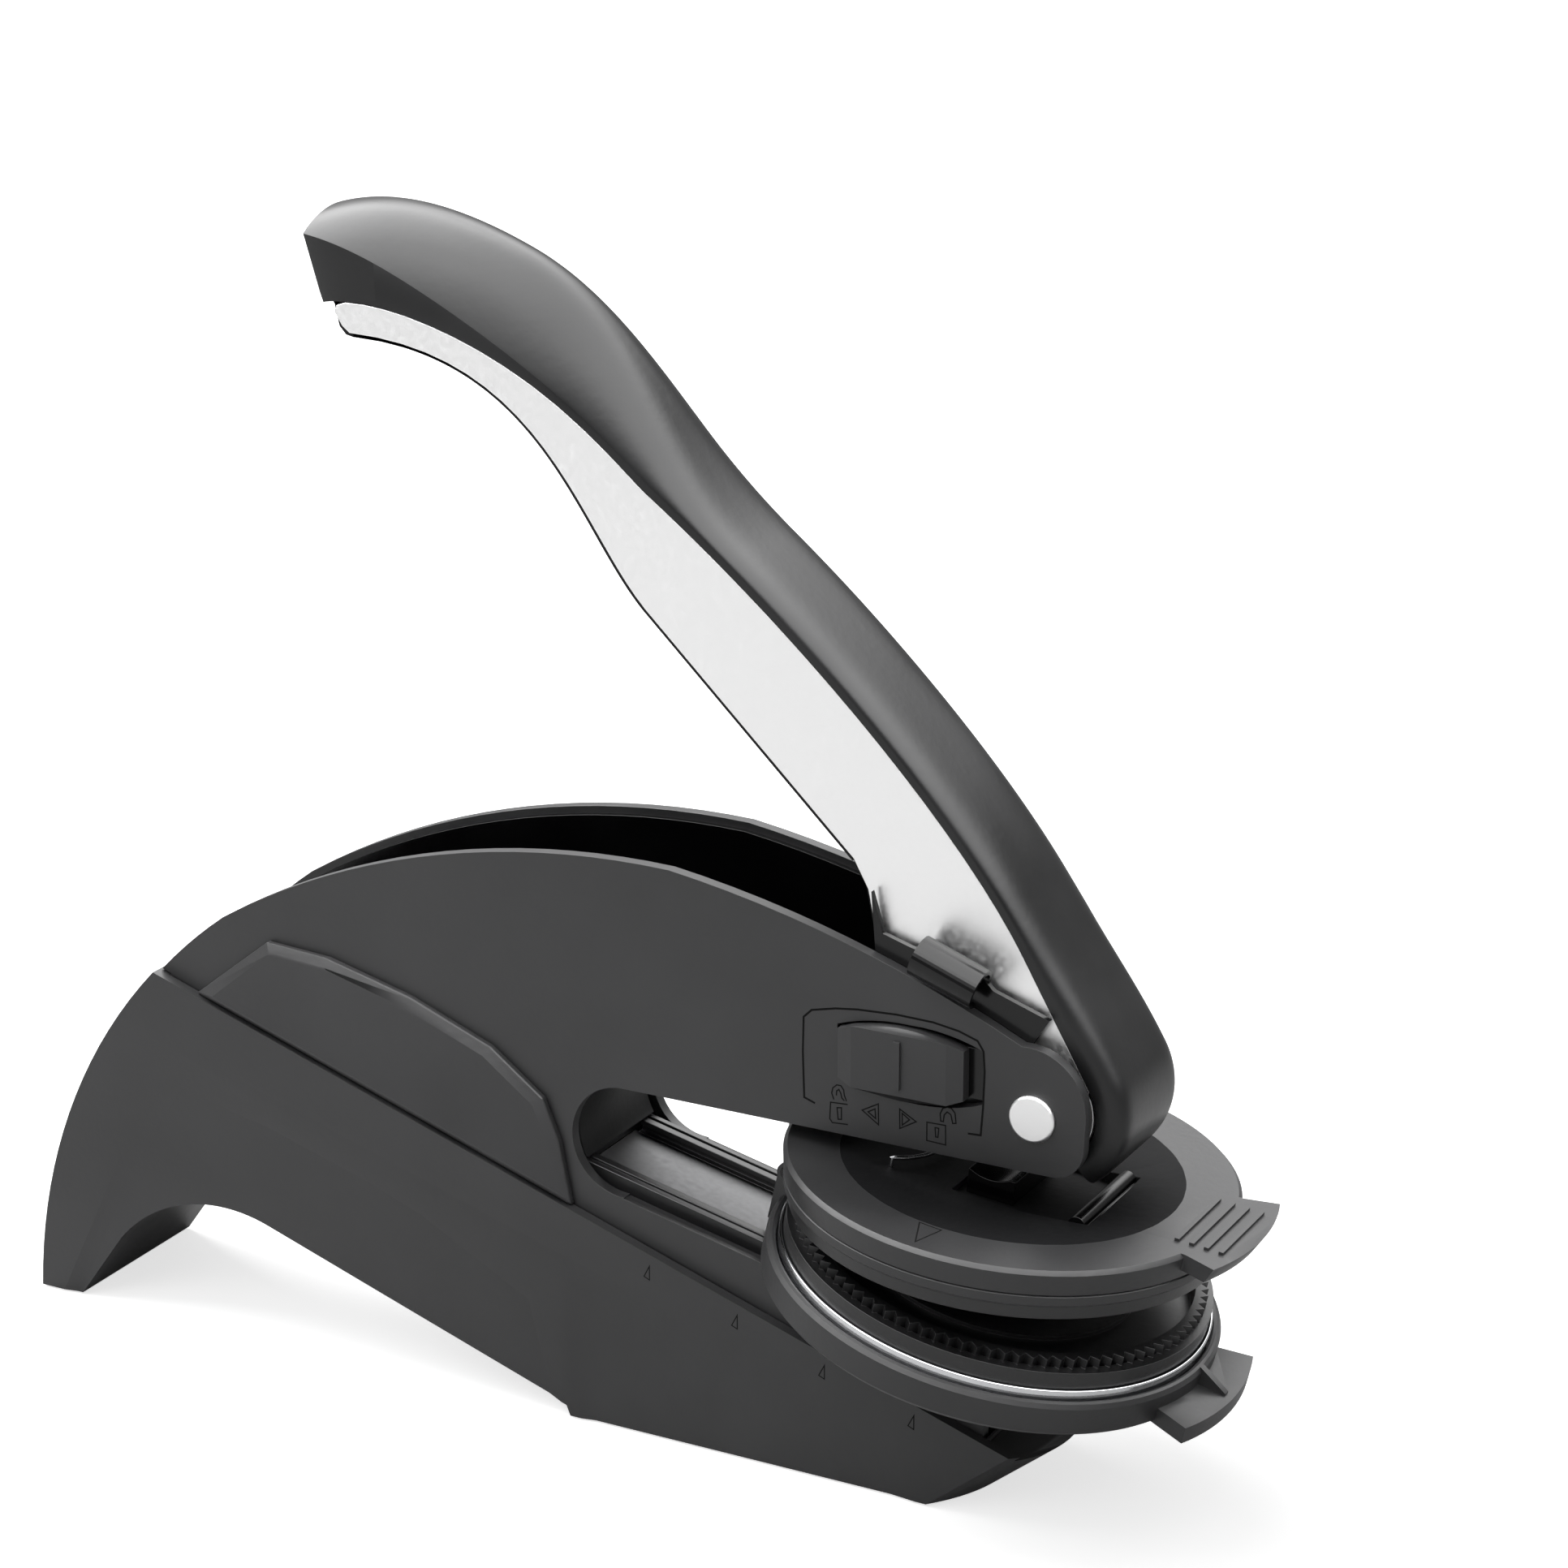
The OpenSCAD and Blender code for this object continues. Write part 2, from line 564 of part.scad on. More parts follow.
module lever_plate() {
    color("white") difference() {
        union() {
            slab(-core_half - plate_t - snug, -core_half - snug) lever_2d(-0.08, 0, 1.4);
            crossbar(pin, boss_r, -core_half - plate_t - snug, -core_half - snug);
        }
        crossbar(pin, pin_r + fit, -20, 20);
        for (p = rivet_places) crossbar(p, 1.2 + snug, -core_half - 0.55, 0);
    }
}
module lever_plate_right() lever_plate();
module lever_plate_left() on_side(1) lever_plate();
module handle_rivets() {
    color("silver") for (p = rivet_places) crossbar(p, 1.2, -core_half - 0.5, core_half + 0.5);
}
module press_roller() {
    color("silver") difference() {
        crossbar(roller, roller_r, -fork_half + 0.2, fork_half - 0.2);
        crossbar(roller, 1.2 + fit, -20, 20);
    }
}
module roller_pin() {
    color("silver") crossbar(roller, 1.2, -core_half, core_half);
}
// Return spring: a close coil of wire round the pivot pin, in a pocket of the core
wire_r = 0.45;
coil_turns = 2.5;
coil_pitch = 1.35;
coil_r = 3.6;
coil_n = 18;
function coil_pt(i) = let (a = 360 * i / coil_n)
    [pin[0] + coil_r * cos(a), -spring_in - 0.7 - coil_pitch * i / coil_n, pin[1] + coil_r * sin(a)];
function ring_about(c, d, r, n) = let (u = unit(cross(d, [0, 1, 0.001])), v = cross(d, u))
    [for (k = [0:n - 1]) c + r * (u * cos(360 * k / n) + v * sin(360 * k / n))];
module tube(path, r, n = 6) {
    last = len(path) - 1;
    rings = [for (i = [0:last]) let (d = unit(path[min(i + 1, last)] - path[max(i - 1, 0)]))
        each ring_about(path[i], d, r, n)];
    faces = concat([[for (k = [n - 1:-1:0]) k]], [[for (k = [0:n - 1]) last * n + k]],
        [for (i = [0:last - 1]) for (k = [0:n - 1]) let (a = i * n + k, b = i * n + (k + 1) % n)
            each [[a, b, b + n], [a, b + n, a + n]]]);
    polyhedron(points = rings, faces = faces, convexity = 6);
}
echo(least_gap_between_coils = coil_pitch - 2 * wire_r);
module handle_spring() {
    color("silver") tube([for (i = [0:coil_n * coil_turns]) coil_pt(i)], wire_r);
}

// ---------------------------------------------------------------- clip, lower half
// Plan of a finger tab: it flares outwards from the disc's edge
tab_half = 9.3;
module tab_2d() {
    root = lid_r - 1.5;
    polygon([[root - 7, -tab_half], [root, -tab_half], [root + 13, -tab_half - 4.5],
             [root + 13, tab_half + 4.5], [root, tab_half], [root - 7, tab_half]]);
}
module lower_disc() {
    color("#2a2a2a") in_clip() union() {
        rotate_extrude($fn = 180) polygon([[0, -ring_h], [ring_r - 0.6, -ring_h], [ring_r, -ring_h + 0.6],
            [ring_r, -0.7], [ring_r - 0.35, -0.15], [ring_r - 0.7, 0], [ring_r - 1.05, -0.15],
            [ring_r - 1.3, -0.6], [ring_r - 1.3, -1.6], [0, -1.6]]);
        // finger tab with its upright rib
        intersection() {
            difference() {
                translate([0, 0, -ring_h]) cylinder(r = ring_r + tab_reach, h = 2.2, $fn = 180);
                translate([0, 0, -9]) cylinder(r = ring_r - 0.8, h = 12);
            }
            translate([0, 0, -9]) linear_extrude(12) tab_2d();
        }
        slab(-0.5, 0.5) polygon([[ring_r - 0.9, -ring_h], [ring_r - 0.9, -0.1], [ring_r - 0.2, -0.1],
            [ring_r + tab_reach - 1, -ring_h + 2.5], [ring_r + tab_reach - 1, -ring_h]]);
        // hinge ears
        for (s = [-1, 1]) on_side(s) difference() {
            translate([-hinge_back, -knuckle_half - run - 1.4, hinge_up]) rotate([-90, 0, 0]) union() {
                cylinder(r = knuckle_r, h = 1.4);
                translate([-1.2, 0, 0]) cube([2.1, hinge_up + ring_h - 0.6, 1.4]);
            }
            translate([-hinge_back, -9, hinge_up]) rotate([-90, 0, 0]) cylinder(r = 0.9 + snug, h = 18);
        }
    }
}
band_in = die_r + 0.1;
module lower_ring() {
    color("silver") in_clip() rotate_extrude($fn = 180)
        polygon([[band_in, -1.6], [ring_r - 1.4, -1.6], [ring_r - 1.4, 0.4], [ring_r - 1.55, 0.9],
                 [band_in, 1]]);
}
// The die: a smooth rim, and inside it a crown of fine teeth
rim_top = die_top - 1.2;
tooth_out = die_r - 0.9;
tooth_depth = 1;
module lower_die() {
    color("#161616") in_clip() difference() {
        union() {
            translate([0, 0, -1.6]) cylinder(r = die_r, h = 3.4, $fn = 180);
            translate([0, 0, 1.7]) difference() {
                cylinder(r = die_r, h = rim_top - 1.7, $fn = 180);
                translate([0, 0, -1]) cylinder(r = tooth_out - 0.5, h = 9);
            }
            translate([0, 0, 1.7]) linear_extrude(die_top - 1.7) difference() {
                polygon([for (i = [0:2 * tooth_count - 1])
                    let (r = tooth_out - (i % 2 == 0 ? 0 : tooth_depth))
                    r * [cos(180 * i / tooth_count), sin(180 * i / tooth_count)]]);
                circle(r = tooth_out - tooth_depth - 0.7);
            }
            // plain relief circles stand for the seal
            for (r = [18, 12]) translate([0, 0, 1.7]) difference() {
                cylinder(r = r, h = 0.6);
                translate([0, 0, -1]) cylinder(r = r - 0.6, h = 3);
            }
        }
        // flat that clears the hinge
        translate([-die_r - 1, -6, 1.2]) cube([1.5, 12, 9]);
    }
}
tang_back = 22;      // from the disc's centre back to the tang's end
tang_len = 40;
module clip_tang() {
    color("#303030") in_clip() {
        translate([-tang_back, -rail_in + 0.5, -ring_h - tang_t])
            cube([tang_len, 2 * (rail_in - 0.5), tang_t]);
        translate([-tang_back, -rail_in - 0.45, -ring_h - tang_t])
            cube([tang_len, 2 * (rail_in + 0.45), tang_lip]);
    }
}
module clip_hinge_pin() {
    color("silver") crossbar(hinge, 0.9, -knuckle_half - run - 1.5, knuckle_half + run + 1.5);
}

// ---------------------------------------------------------------- clip, upper half
dish_r = 21.5;
dish_deep = 1.8;
pocket_x0 = -4.4;
pocket_x1 = 13.9;
pocket_half = 8;
pocket_deep = 2.6;
// A bowed wire on the upper disc, just behind the pad
wire_path = [for (i = [0:16]) let (a = -60 + 120 * i / 16)
    [-15.5 + 6 * cos(a), 10 * sin(a), 0.55 - 1.2 * pow(cos(a), 2)]];
seam_z = -lid_h * 0.68;       // seam round the side of the disc
module upper_disc() {
    color("#333333") in_lid() difference() {
        union() {
            rotate_extrude($fn = 180)
                polygon([[0, -lid_h], [lid_r - 0.6, -lid_h], [lid_r - 0.4, -lid_h + 0.3],
                         [lid_r - 0.3, seam_z - 0.15], [lid_r - 0.6, seam_z], [lid_r - 0.3, seam_z + 0.15],
                         [lid_r, -0.5], [lid_r - 0.5, 0], [dish_r, 0], [dish_r - 12, -dish_deep],
                         [0, -dish_deep]]);
            // finger tab with plain parallel ribs
            intersection() {
                difference() {
                    translate([0, 0, -2.2]) cylinder(r1 = tab_tip - 1.2, r2 = tab_tip, h = 2.2, $fn = 180);
                    translate([0, 0, -9]) cylinder(r = lid_r - 0.8, h = 12);
                }
                translate([0, 0, -9]) linear_extrude(12) tab_2d();
            }
            for (i = [0:3]) translate([lid_r - 4 + 1.9 * i, -6.7, -0.3]) cube([0.6, 13.4, 0.7]);
            // hinge barrel
            translate([-hinge_back, -knuckle_half, -lid_top]) rotate([-90, 0, 0]) union() {
                cylinder(r = knuckle_r, h = 2 * knuckle_half);
                translate([-1.2, -lid_top + 2, 0]) cube([2.1, lid_top - 2, 2 * knuckle_half]);
            }
            translate([-hinge_back - 1.2, -knuckle_half, -lid_h])
                cube([max(hinge_back - lid_r + 2.4, 2.1), 2 * knuckle_half, lid_h - 2]);
        }
        translate([-hinge_back, -9, -lid_top]) rotate([-90, 0, 0]) cylinder(r = 0.9 + fit, h = 18);
        translate([pocket_x0, -pocket_half, -pocket_deep]) cube([pocket_x1 - pocket_x0, 2 * pocket_half, 9]);
        for (y = [-1, 1] * wire_path[0][1]) translate([wire_path[0][0], y, -1.5]) cylinder(r = 0.35, h = 4);
    }
}
module upper_die() {
    color("#1e1e1e") in_lid() union() {
        translate([0, 0, -lid_h - upper_die_h])
            cylinder(r1 = lid_r - 1.1, r2 = lid_r - 0.7, h = upper_die_h, $fn = 180);
    }
}
// The pad that the roller presses: its top is hollowed for the roller's path
pad_len = 6.4;
module thrust_pad() {
    color("silver") in_lid() difference() {
        translate([-3.3, -6, -pocket_deep]) cube([pad_len, 12, pocket_deep + 0.65]);
        translate([-0.44, -9, 5.45]) rotate([-90, 0, 0]) cylinder(r = 5.5, h = 18);
    }
}
module thrust_bar() {
    color("silver") in_lid() translate([pocket_x1 - 3, 0, -pocket_deep]) {
        translate([0, -pocket_half + seat, 0]) cube([2.8, 2 * (pocket_half - seat), 1.2]);
        translate([1.4, pocket_half - seat, 1.2]) rotate([90, 0, 0])
            cylinder(r = 1.1, h = 2 * (pocket_half - seat));
    }
}
module lid_wire() {
    color("silver") in_lid()
        tube(concat([wire_path[0] - [0, 0, 1.4]], wire_path, [wire_path[16] - [0, 0, 1.4]]), 0.28, 6);
}

// ---------------------------------------------------------------- lock
module lock_button() {
    color("#3a3a3a") union() {
        slab(-wall_half - button_rise + 0.5, -wall_half + wall_t - run - slider_t) button_2d();
        hull() {
            slab(-wall_half - button_rise + 0.5, -wall_half) intersection() {
                button_2d();
                square(200);
            }
            slab(-wall_half - button_rise, -wall_half) translate(button_c + [-6.4, -4]) square([12.8, 8]);
        }
        slab(-wall_half - button_rise - 0.35, -wall_half)
            translate(button_c + [-0.6, -3.1]) square([0.9, 6.2]);
    }
}
module lock_slider() {
    color("#202020") slab(-wall_half + wall_t - run - slider_t, -wall_half + wall_t - run) slider_2d();
}

base_skirt();
base_plate();
front_foot_pad();
rear_foot_pad();
base_screws();
wall_right();
wall_left();
badge_right();
badge_left();
cheek_right();
cheek_left();
frame_spacers();
frame_screws();
throat_liner();
rail_right();
rail_left();
jaw_plate();
jaw_front();
pivot_pin();
pivot_cap();
handle_core();
handle_cover();
lever_plate_right();
lever_plate_left();
handle_rivets();
press_roller();
roller_pin();
handle_spring();
lower_disc();
lower_ring();
lower_die();
clip_tang();
clip_hinge_pin();
upper_disc();
upper_die();
thrust_pad();
thrust_bar();
lid_wire();
lock_button();
lock_slider();
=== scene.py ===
# %% [markdown]
# # A desk seal embosser
# The real object is a hand press of black moulded plastic with a steel heart. A long
# handle turns on a pin, its roller closes two hinged discs, and the dies in the discs
# raise a pattern in paper. Its solids come ready made from the CAD model. This file
# dresses them: soft edges, real finishes, and the small marks that are too fine for CAD.

# %% Load the solids
import json
import math

import bmesh
import bpy
import numpy as np
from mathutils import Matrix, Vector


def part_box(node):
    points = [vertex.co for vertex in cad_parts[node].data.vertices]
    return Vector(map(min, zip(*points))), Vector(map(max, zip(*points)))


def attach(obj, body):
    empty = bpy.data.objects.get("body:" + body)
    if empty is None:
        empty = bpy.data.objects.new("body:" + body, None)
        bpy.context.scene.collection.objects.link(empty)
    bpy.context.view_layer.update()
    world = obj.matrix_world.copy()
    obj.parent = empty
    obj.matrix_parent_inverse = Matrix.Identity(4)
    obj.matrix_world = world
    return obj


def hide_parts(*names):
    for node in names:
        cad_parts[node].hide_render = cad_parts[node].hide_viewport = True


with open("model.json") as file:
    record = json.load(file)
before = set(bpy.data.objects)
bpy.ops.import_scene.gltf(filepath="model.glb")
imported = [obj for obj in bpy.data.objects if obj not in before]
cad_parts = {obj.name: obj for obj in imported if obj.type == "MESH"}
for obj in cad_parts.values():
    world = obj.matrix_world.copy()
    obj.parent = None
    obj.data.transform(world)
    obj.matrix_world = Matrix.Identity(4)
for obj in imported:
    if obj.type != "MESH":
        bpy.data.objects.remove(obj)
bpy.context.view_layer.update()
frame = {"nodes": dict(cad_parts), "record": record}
nodes = frame["nodes"]
body_of_node = {n: b for b, ns in frame["record"]["behaviour"]["bodies"].items() for n in ns}
slot_of = {part["node"]: part["material_slot"] for part in frame["record"]["subparts"]}

# %% [markdown]
# ## The camera
# The photograph was taken from the near side, a little towards the discs and a little
# above. Seven matched points gave the angles, the distance and the focal length, so the
# camera is placed by those four numbers and looks at one point above the base.

# %% The camera
MM = 0.001
LOOK_AT = np.array([22.75, 0.0, 87.0]) * MM
TURN, RISE = math.radians(27.9), math.radians(18.1)
DISTANCE = 498.7 * MM
FOCAL_PX, FRAME_PX, SENSOR_MM = 4968.7, 1932, 36.0
SEES_TO_M = 10

back = np.array([math.sin(TURN) * math.cos(RISE), -math.cos(TURN) * math.cos(RISE), math.sin(RISE)])
camera_data = bpy.data.cameras.new("camera")
camera_data.sensor_width = SENSOR_MM
camera_data.lens = SENSOR_MM * FOCAL_PX / FRAME_PX
camera_data.clip_end = SEES_TO_M
camera = bpy.data.objects.new("camera", camera_data)
camera.location = LOOK_AT + back * DISTANCE
camera.rotation_euler = (math.pi / 2 - RISE, 0, TURN)
bpy.context.scene.collection.objects.link(camera)
bpy.context.scene.camera = camera
print("lens: %.1f mm" % camera_data.lens)

# %% [markdown]
# ## Colours and shader nodes
# Colours are written as the hex values that a picture editor shows. Blender's shaders
# want linear light, so one function turns them. A second small function adds a shader
# node, sets its sockets and links them, which keeps every material a short list.


# %% Colours and shader nodes
def linear(hex_colour):
    """Each sRGB channel c becomes c/12.92 below 0.04045, else ((c+0.055)/1.055)^2.4."""
    c = np.array([int(hex_colour[i : i + 2], 16) for i in (1, 3, 5)]) / 255
    lin = np.where(c <= 0.04045, c / 12.92, ((c + 0.055) / 1.055) ** 2.4)
    return (*lin.tolist(), 1.0)


def add(tree, kind, settings=None, **sockets):
    """Adds a node. A socket is named, or numbered as _0, and takes a value or another's output."""
    node = tree.nodes.new("ShaderNode" + kind)
    for key, value in (settings or {}).items():
        setattr(node, key, value)
    for key, value in sockets.items():
        socket = node.inputs[int(key[1:])] if key[1:].isdigit() else node.inputs[key.replace("_", " ")]
        if isinstance(value, bpy.types.NodeSocket):
            tree.links.new(value, socket)
        else:
            socket.default_value = value
    return node


def ramp(tree, value, low, high, a, b):
    """A value between low and high becomes a value between a and b."""
    return add(tree, "MapRange", None, Value=value, _1=low, _2=high, _3=a, _4=b).outputs[0]


def new_tree(name):
    """A material with an empty node tree."""
    material = bpy.data.materials.new(name)
    material.use_nodes = True
    material.node_tree.nodes.clear()
    return material, material.node_tree


# %% [markdown]
# ## Moulded black plastic
# The body is injection-moulded ABS, dyed black through. Its mould is lightly eroded, which
# leaves a satin skin of fine grain. The grain is drawn 0.25 mm wide: the real one is half
# that, too fine to show. Handling polishes such plastic in soft cloudy patches, so the
# roughness wanders slowly, and a faint dust tint keeps the black from looking like a hole.
# Where a moulding looked duller or deeper in the photograph, its gloss is turned down.

# %% Moulded black plastic
CLOUD_MM, CLOUD_ROUGH = 18, 0.06
GRAIN_MM, GRAIN_DEPTH_MM = 0.25, 0.2
FINER = 4  # a noise's first cell is that many grains wide, and its detail is finer
ABS_IOR = 1.53


def plastic(name, colour, dusty, rough, grain_mm=GRAIN_MM, grain=0.12, gloss=0.5):
    """A dark colour and a roughness that drift with slow clouds, under a fine grain."""
    material, tree = new_tree(name)
    place = add(tree, "TexCoord").outputs["Object"]
    fine = add(tree, "TexNoise", None, Vector=place, Scale=1 / MM / grain_mm / FINER, Detail=2.0).outputs[0]
    cloud = add(tree, "TexNoise", None, Vector=place, Scale=1 / MM / CLOUD_MM, Detail=3.0).outputs[0]
    tint = add(tree, "Mix", {"data_type": "RGBA"}, Factor=ramp(tree, cloud, 0.35, 0.75, 0.0, 1.0),
               _6=linear(colour), _7=linear(dusty))
    bump = add(tree, "Bump", None, Height=fine, Strength=grain, Distance=GRAIN_DEPTH_MM * MM)
    wander = ramp(tree, cloud, 0.3, 0.7, rough - CLOUD_ROUGH, rough + CLOUD_ROUGH)
    shader = add(tree, "BsdfPrincipled", None, Base_Color=tint.outputs[2], Normal=bump.outputs[0],
                 Roughness=wander, IOR=ABS_IOR, Specular_IOR_Level=gloss)
    add(tree, "OutputMaterial", None, Surface=shader.outputs[0])
    return material


finish = {
    "body_plastic": plastic("satin black ABS", "#232324", "#2b2b2c", 0.46),
    "trim_plastic": plastic("eroded black ABS", "#232324", "#2b2b2c", 0.55, 0.4, 0.3),
    "grip_plastic": plastic("semi-gloss black ABS", "#101011", "#161617", 0.36, 0.3, 0.08, gloss=0.4),
    "core_plastic": plastic("matt black nylon", "#0a0a0b", "#101011", 0.5, gloss=0.2),
    "rail_plastic": plastic("slippery black acetal", "#232324", "#2b2b2c", 0.4),
    "disc_plastic": plastic("satin black ABS disc", "#222223", "#2a2a2b", 0.45, gloss=0.45),
    "die_plastic": plastic("black engraved resin", "#0e0e0f", "#161617", 0.38),
    "pad_rubber": plastic("black foot rubber", "#141414", "#202020", 0.8, 0.6, 0.3),
}
print("plastics:", len(finish))

# %% [markdown]
# ## Plated and polished steel
# The handle's side plates are sheet steel with a bright satin plating. The ring, the roller
# and the wire are polished, the jaw's plate is brushed, and the pins are turned. The jaw's
# plate has a dark grey colour: painted reflection of the dark parts above it. All share
# one recipe: a metal whose roughness follows noise that is stretched along the work. Brushing
# leaves lines about 0.1 mm apart, drawn here 0.2 mm apart so that they show. Black oxide is
# a thin dark coat with a soft shine, so it takes the recipe of the plastics.

# %% Plated and polished steel
LINE_MM, LINE_DEPTH_MM, LINE_BUMP = 0.2, 0.1, 0.08


def steel(name, colour, rough, along=(1, 1, 12), streak=0.08):
    """A metal whose noise is stretched by the factors along x, y and z."""
    material, tree = new_tree(name)
    place = add(tree, "TexCoord").outputs["Object"]
    stretch = add(tree, "Mapping", None, Vector=place, Scale=tuple(1 / a for a in along)).outputs[0]
    lines = add(tree, "TexNoise", None, Vector=stretch, Scale=1 / MM / LINE_MM / FINER, Detail=3.0).outputs[0]
    bump = add(tree, "Bump", None, Height=lines, Strength=LINE_BUMP, Distance=LINE_DEPTH_MM * MM)
    streaks = ramp(tree, lines, 0.3, 0.7, rough - streak, rough + streak)
    shader = add(tree, "BsdfPrincipled", None, Base_Color=linear(colour), Metallic=1.0,
                 Normal=bump.outputs[0], Roughness=streaks)
    add(tree, "OutputMaterial", None, Surface=shader.outputs[0])
    return material


finish.update(
    black_steel=plastic("black oxide steel", "#060607", "#0b0b0c", 0.2, 0.3, 0.04, gloss=0.3),
    lever_steel=steel("satin nickel-plated steel", "#f0f0f0", 0.42, along=(1, 12, 1)),
    bright_steel=steel("polished steel", "#c9cacc", 0.16, streak=0.05),
    # The jaw plate's dark grey colour is painted reflection of the dark parts above it.
    jaw_steel=steel("brushed steel with painted dark reflection", "#606061", 0.5, streak=0.04),
    pin_steel=steel("turned steel pin", "#f4f4f4", 0.38, along=(1, 12, 1), streak=0.02),
)
for name, solid in nodes.items():
    solid.data.materials.clear()
    solid.data.materials.append(finish[slot_of[name]])
print("finishes:", len(finish))

# %% [markdown]
# ## Soft edges
# No moulded or stamped edge is truly sharp: it carries a small radius that catches a line
# of light. A copy of each solid is welded, its flat faces are joined, and a Bevel modifier
# rounds every edge that turns by more than a set angle. The copy then stands for the solid.
# The big mouldings get the larger radii, the turned pins and thin sheets a small one.

# %% Soft edges
SHARP = math.radians(28)
FLAT = math.radians(0.4)
WELD_M = 2e-6
ROUND_STEPS = 3


def rounded(piece, radius_mm):
    """Smooth shading up to the sharp angle, and a round of the given radius on what is sharper."""
    piece.data.shade_smooth()
    piece.data.set_sharp_from_angle(angle=SHARP)
    bevel = piece.modifiers.new("edge", "BEVEL")
    bevel.width = radius_mm * MM
    bevel.segments = ROUND_STEPS
    bevel.limit_method = "ANGLE"
    bevel.angle_limit = SHARP
    bevel.harden_normals = True


def softened(name, radius_mm):
    """A welded copy of a solid, with its edges rounded, in the solid's place."""
    mesh = nodes[name].data.copy()
    work = bmesh.new()
    work.from_mesh(mesh)
    bmesh.ops.remove_doubles(work, verts=work.verts, dist=WELD_M)
    bmesh.ops.dissolve_limit(work, angle_limit=FLAT, verts=work.verts, edges=work.edges)
    work.to_mesh(mesh)
    work.free()
    piece = bpy.data.objects.new(name + "_soft", mesh)
    bpy.context.scene.collection.objects.link(piece)
    rounded(piece, radius_mm)
    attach(piece, body_of_node[name])
    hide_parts(name)
    return piece


THIN = 0.08
edge_radius = {
    "base_skirt": 0.35, "wall_right": 0.4, "wall_left": 0.4, "badge_right": 0.25, "badge_left": 0.25,
    "lower_disc": 0.2, "upper_disc": 0.25, "upper_die": 0.15, "lock_button": 0.3, "handle_core": 0.2,
    "cheek_right": 0.12, "cheek_left": 0.12, "rail_right": 0.12, "rail_left": 0.12, "thrust_pad": 0.12,
    "lever_plate_right": 0.15, "lever_plate_left": 0.15, "pivot_pin": 0.15, "pivot_cap": 0.15,
    "front_foot_pad": 0.2, "throat_liner": 0.15,
}
remade = ["handle_cover", "handle_spring", "lid_wire", "lower_ring"]
soft = {name: softened(name, edge_radius.get(name, THIN)) for name in nodes if name not in remade}
print("softened:", len(soft), "at their own radius:", len(edge_radius))

# %% [markdown]
# ## Surfaces from grids
# The pieces below are too smooth, too round or too small for the CAD model, so they are
# worked out here. Each is a grid of points: rows along the piece, points across it. One
# function joins neighbouring points into four-sided faces, and another puts grids in a mesh.

# %% Surfaces from grids
CREASE = math.radians(40)
MERGE_M = 1e-6


def skin(rows, start, closed):
    """Row i, point j joins points j and j+1 of rows i and i+1; closed joins the last row too."""
    n, m = rows.shape[:2]
    i = np.arange(n if closed else n - 1)[:, None]
    j = np.arange(m)[None, :]
    near, far = i * m, (i + 1) % n * m
    corners = [near + j, near + (j + 1) % m, far + (j + 1) % m, far + j]
    return np.stack(corners, -1).reshape(-1, 4) + start


def piece_of(name, grids, node, stands_for=(), radius_mm=0, closed=False, looks=None):
    """Grids of points in mm become one mesh; open ones get a flat face at each end."""
    points, faces, start = [], [], 0
    for rows in grids:
        n, m = rows.shape[:2]
        faces += skin(rows, start, closed).tolist()
        if not closed:
            first, last = range(start + m - 1, start - 1, -1), range(start + (n - 1) * m, start + n * m)
            faces += [list(first), list(last)]
        points.append(rows.reshape(-1, 3))
        start += n * m
    mesh = bpy.data.meshes.new(name)
    mesh.from_pydata((np.concatenate(points) * MM).tolist(), [], faces)
    work = bmesh.new()
    work.from_mesh(mesh)
    bmesh.ops.remove_doubles(work, verts=work.verts, dist=MERGE_M)
    bmesh.ops.recalc_face_normals(work, faces=work.faces)
    work.to_mesh(mesh)
    work.free()
    mesh.materials.append(looks or finish[slot_of[node]])
    piece = bpy.data.objects.new(name, mesh)
    bpy.context.scene.collection.objects.link(piece)
    if radius_mm:
        rounded(piece, radius_mm)
    else:
        mesh.shade_smooth()
        mesh.set_sharp_from_angle(angle=CREASE)
    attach(piece, body_of_node[node])
    if stands_for:
        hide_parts(*stands_for)
    print(name, len(mesh.polygons), "faces")
    return piece


def centre_mm(node):
    """Middle of a solid's box at rest, in mm."""
    low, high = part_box(node)
    return (np.array(low) + np.array(high)) / 2 / MM


def tipped(points, degrees, where):
    """Points turned about the Y axis, the +X end going down, and then moved."""
    c, s = math.cos(math.radians(degrees)), math.sin(math.radians(degrees))
    return points @ np.array([[c, 0, s], [0, 1, 0], [-s, 0, c]]).T + where


pin = centre_mm("pivot_pin")
hinge = centre_mm("clip_hinge_pin")
JAW_TILT, LID_OPEN = 13.0, 7.0
LID_TILT = JAW_TILT - LID_OPEN
clip_centre = tipped(np.array([28.6, 0, -3.0]), JAW_TILT, hinge)
lid_centre = tipped(np.array([28.6, 0, 8.8]), LID_TILT, hinge)
print("clip centre", clip_centre.round(2), "lid centre", lid_centre.round(2))

# %% [markdown]
# ## The handle's cover
# The cover is one long moulding. Under the palm it swells to a full round, thins to a strap
# along the shank, and wraps the elbow round the pivot. Along the seam with the steel plates
# each side stands straight, and a soft crease divides that flat side from the crown. A curve
# gives the seam, and a cross-section whose height, roundness and shoulder change with the
# length along it is carried along that curve. CAD has the same form in coarse facets.


# %% The seam's curve
def bezier(p, t):
    """Cubic curve from p0 to p3, drawn towards p1 and p2: their Bernstein-weighted sum."""
    u = 1 - t
    return u**3 * p[0] + 3 * u**2 * t * p[1] + 3 * u * t**2 * p[2] + t**3 * p[3]


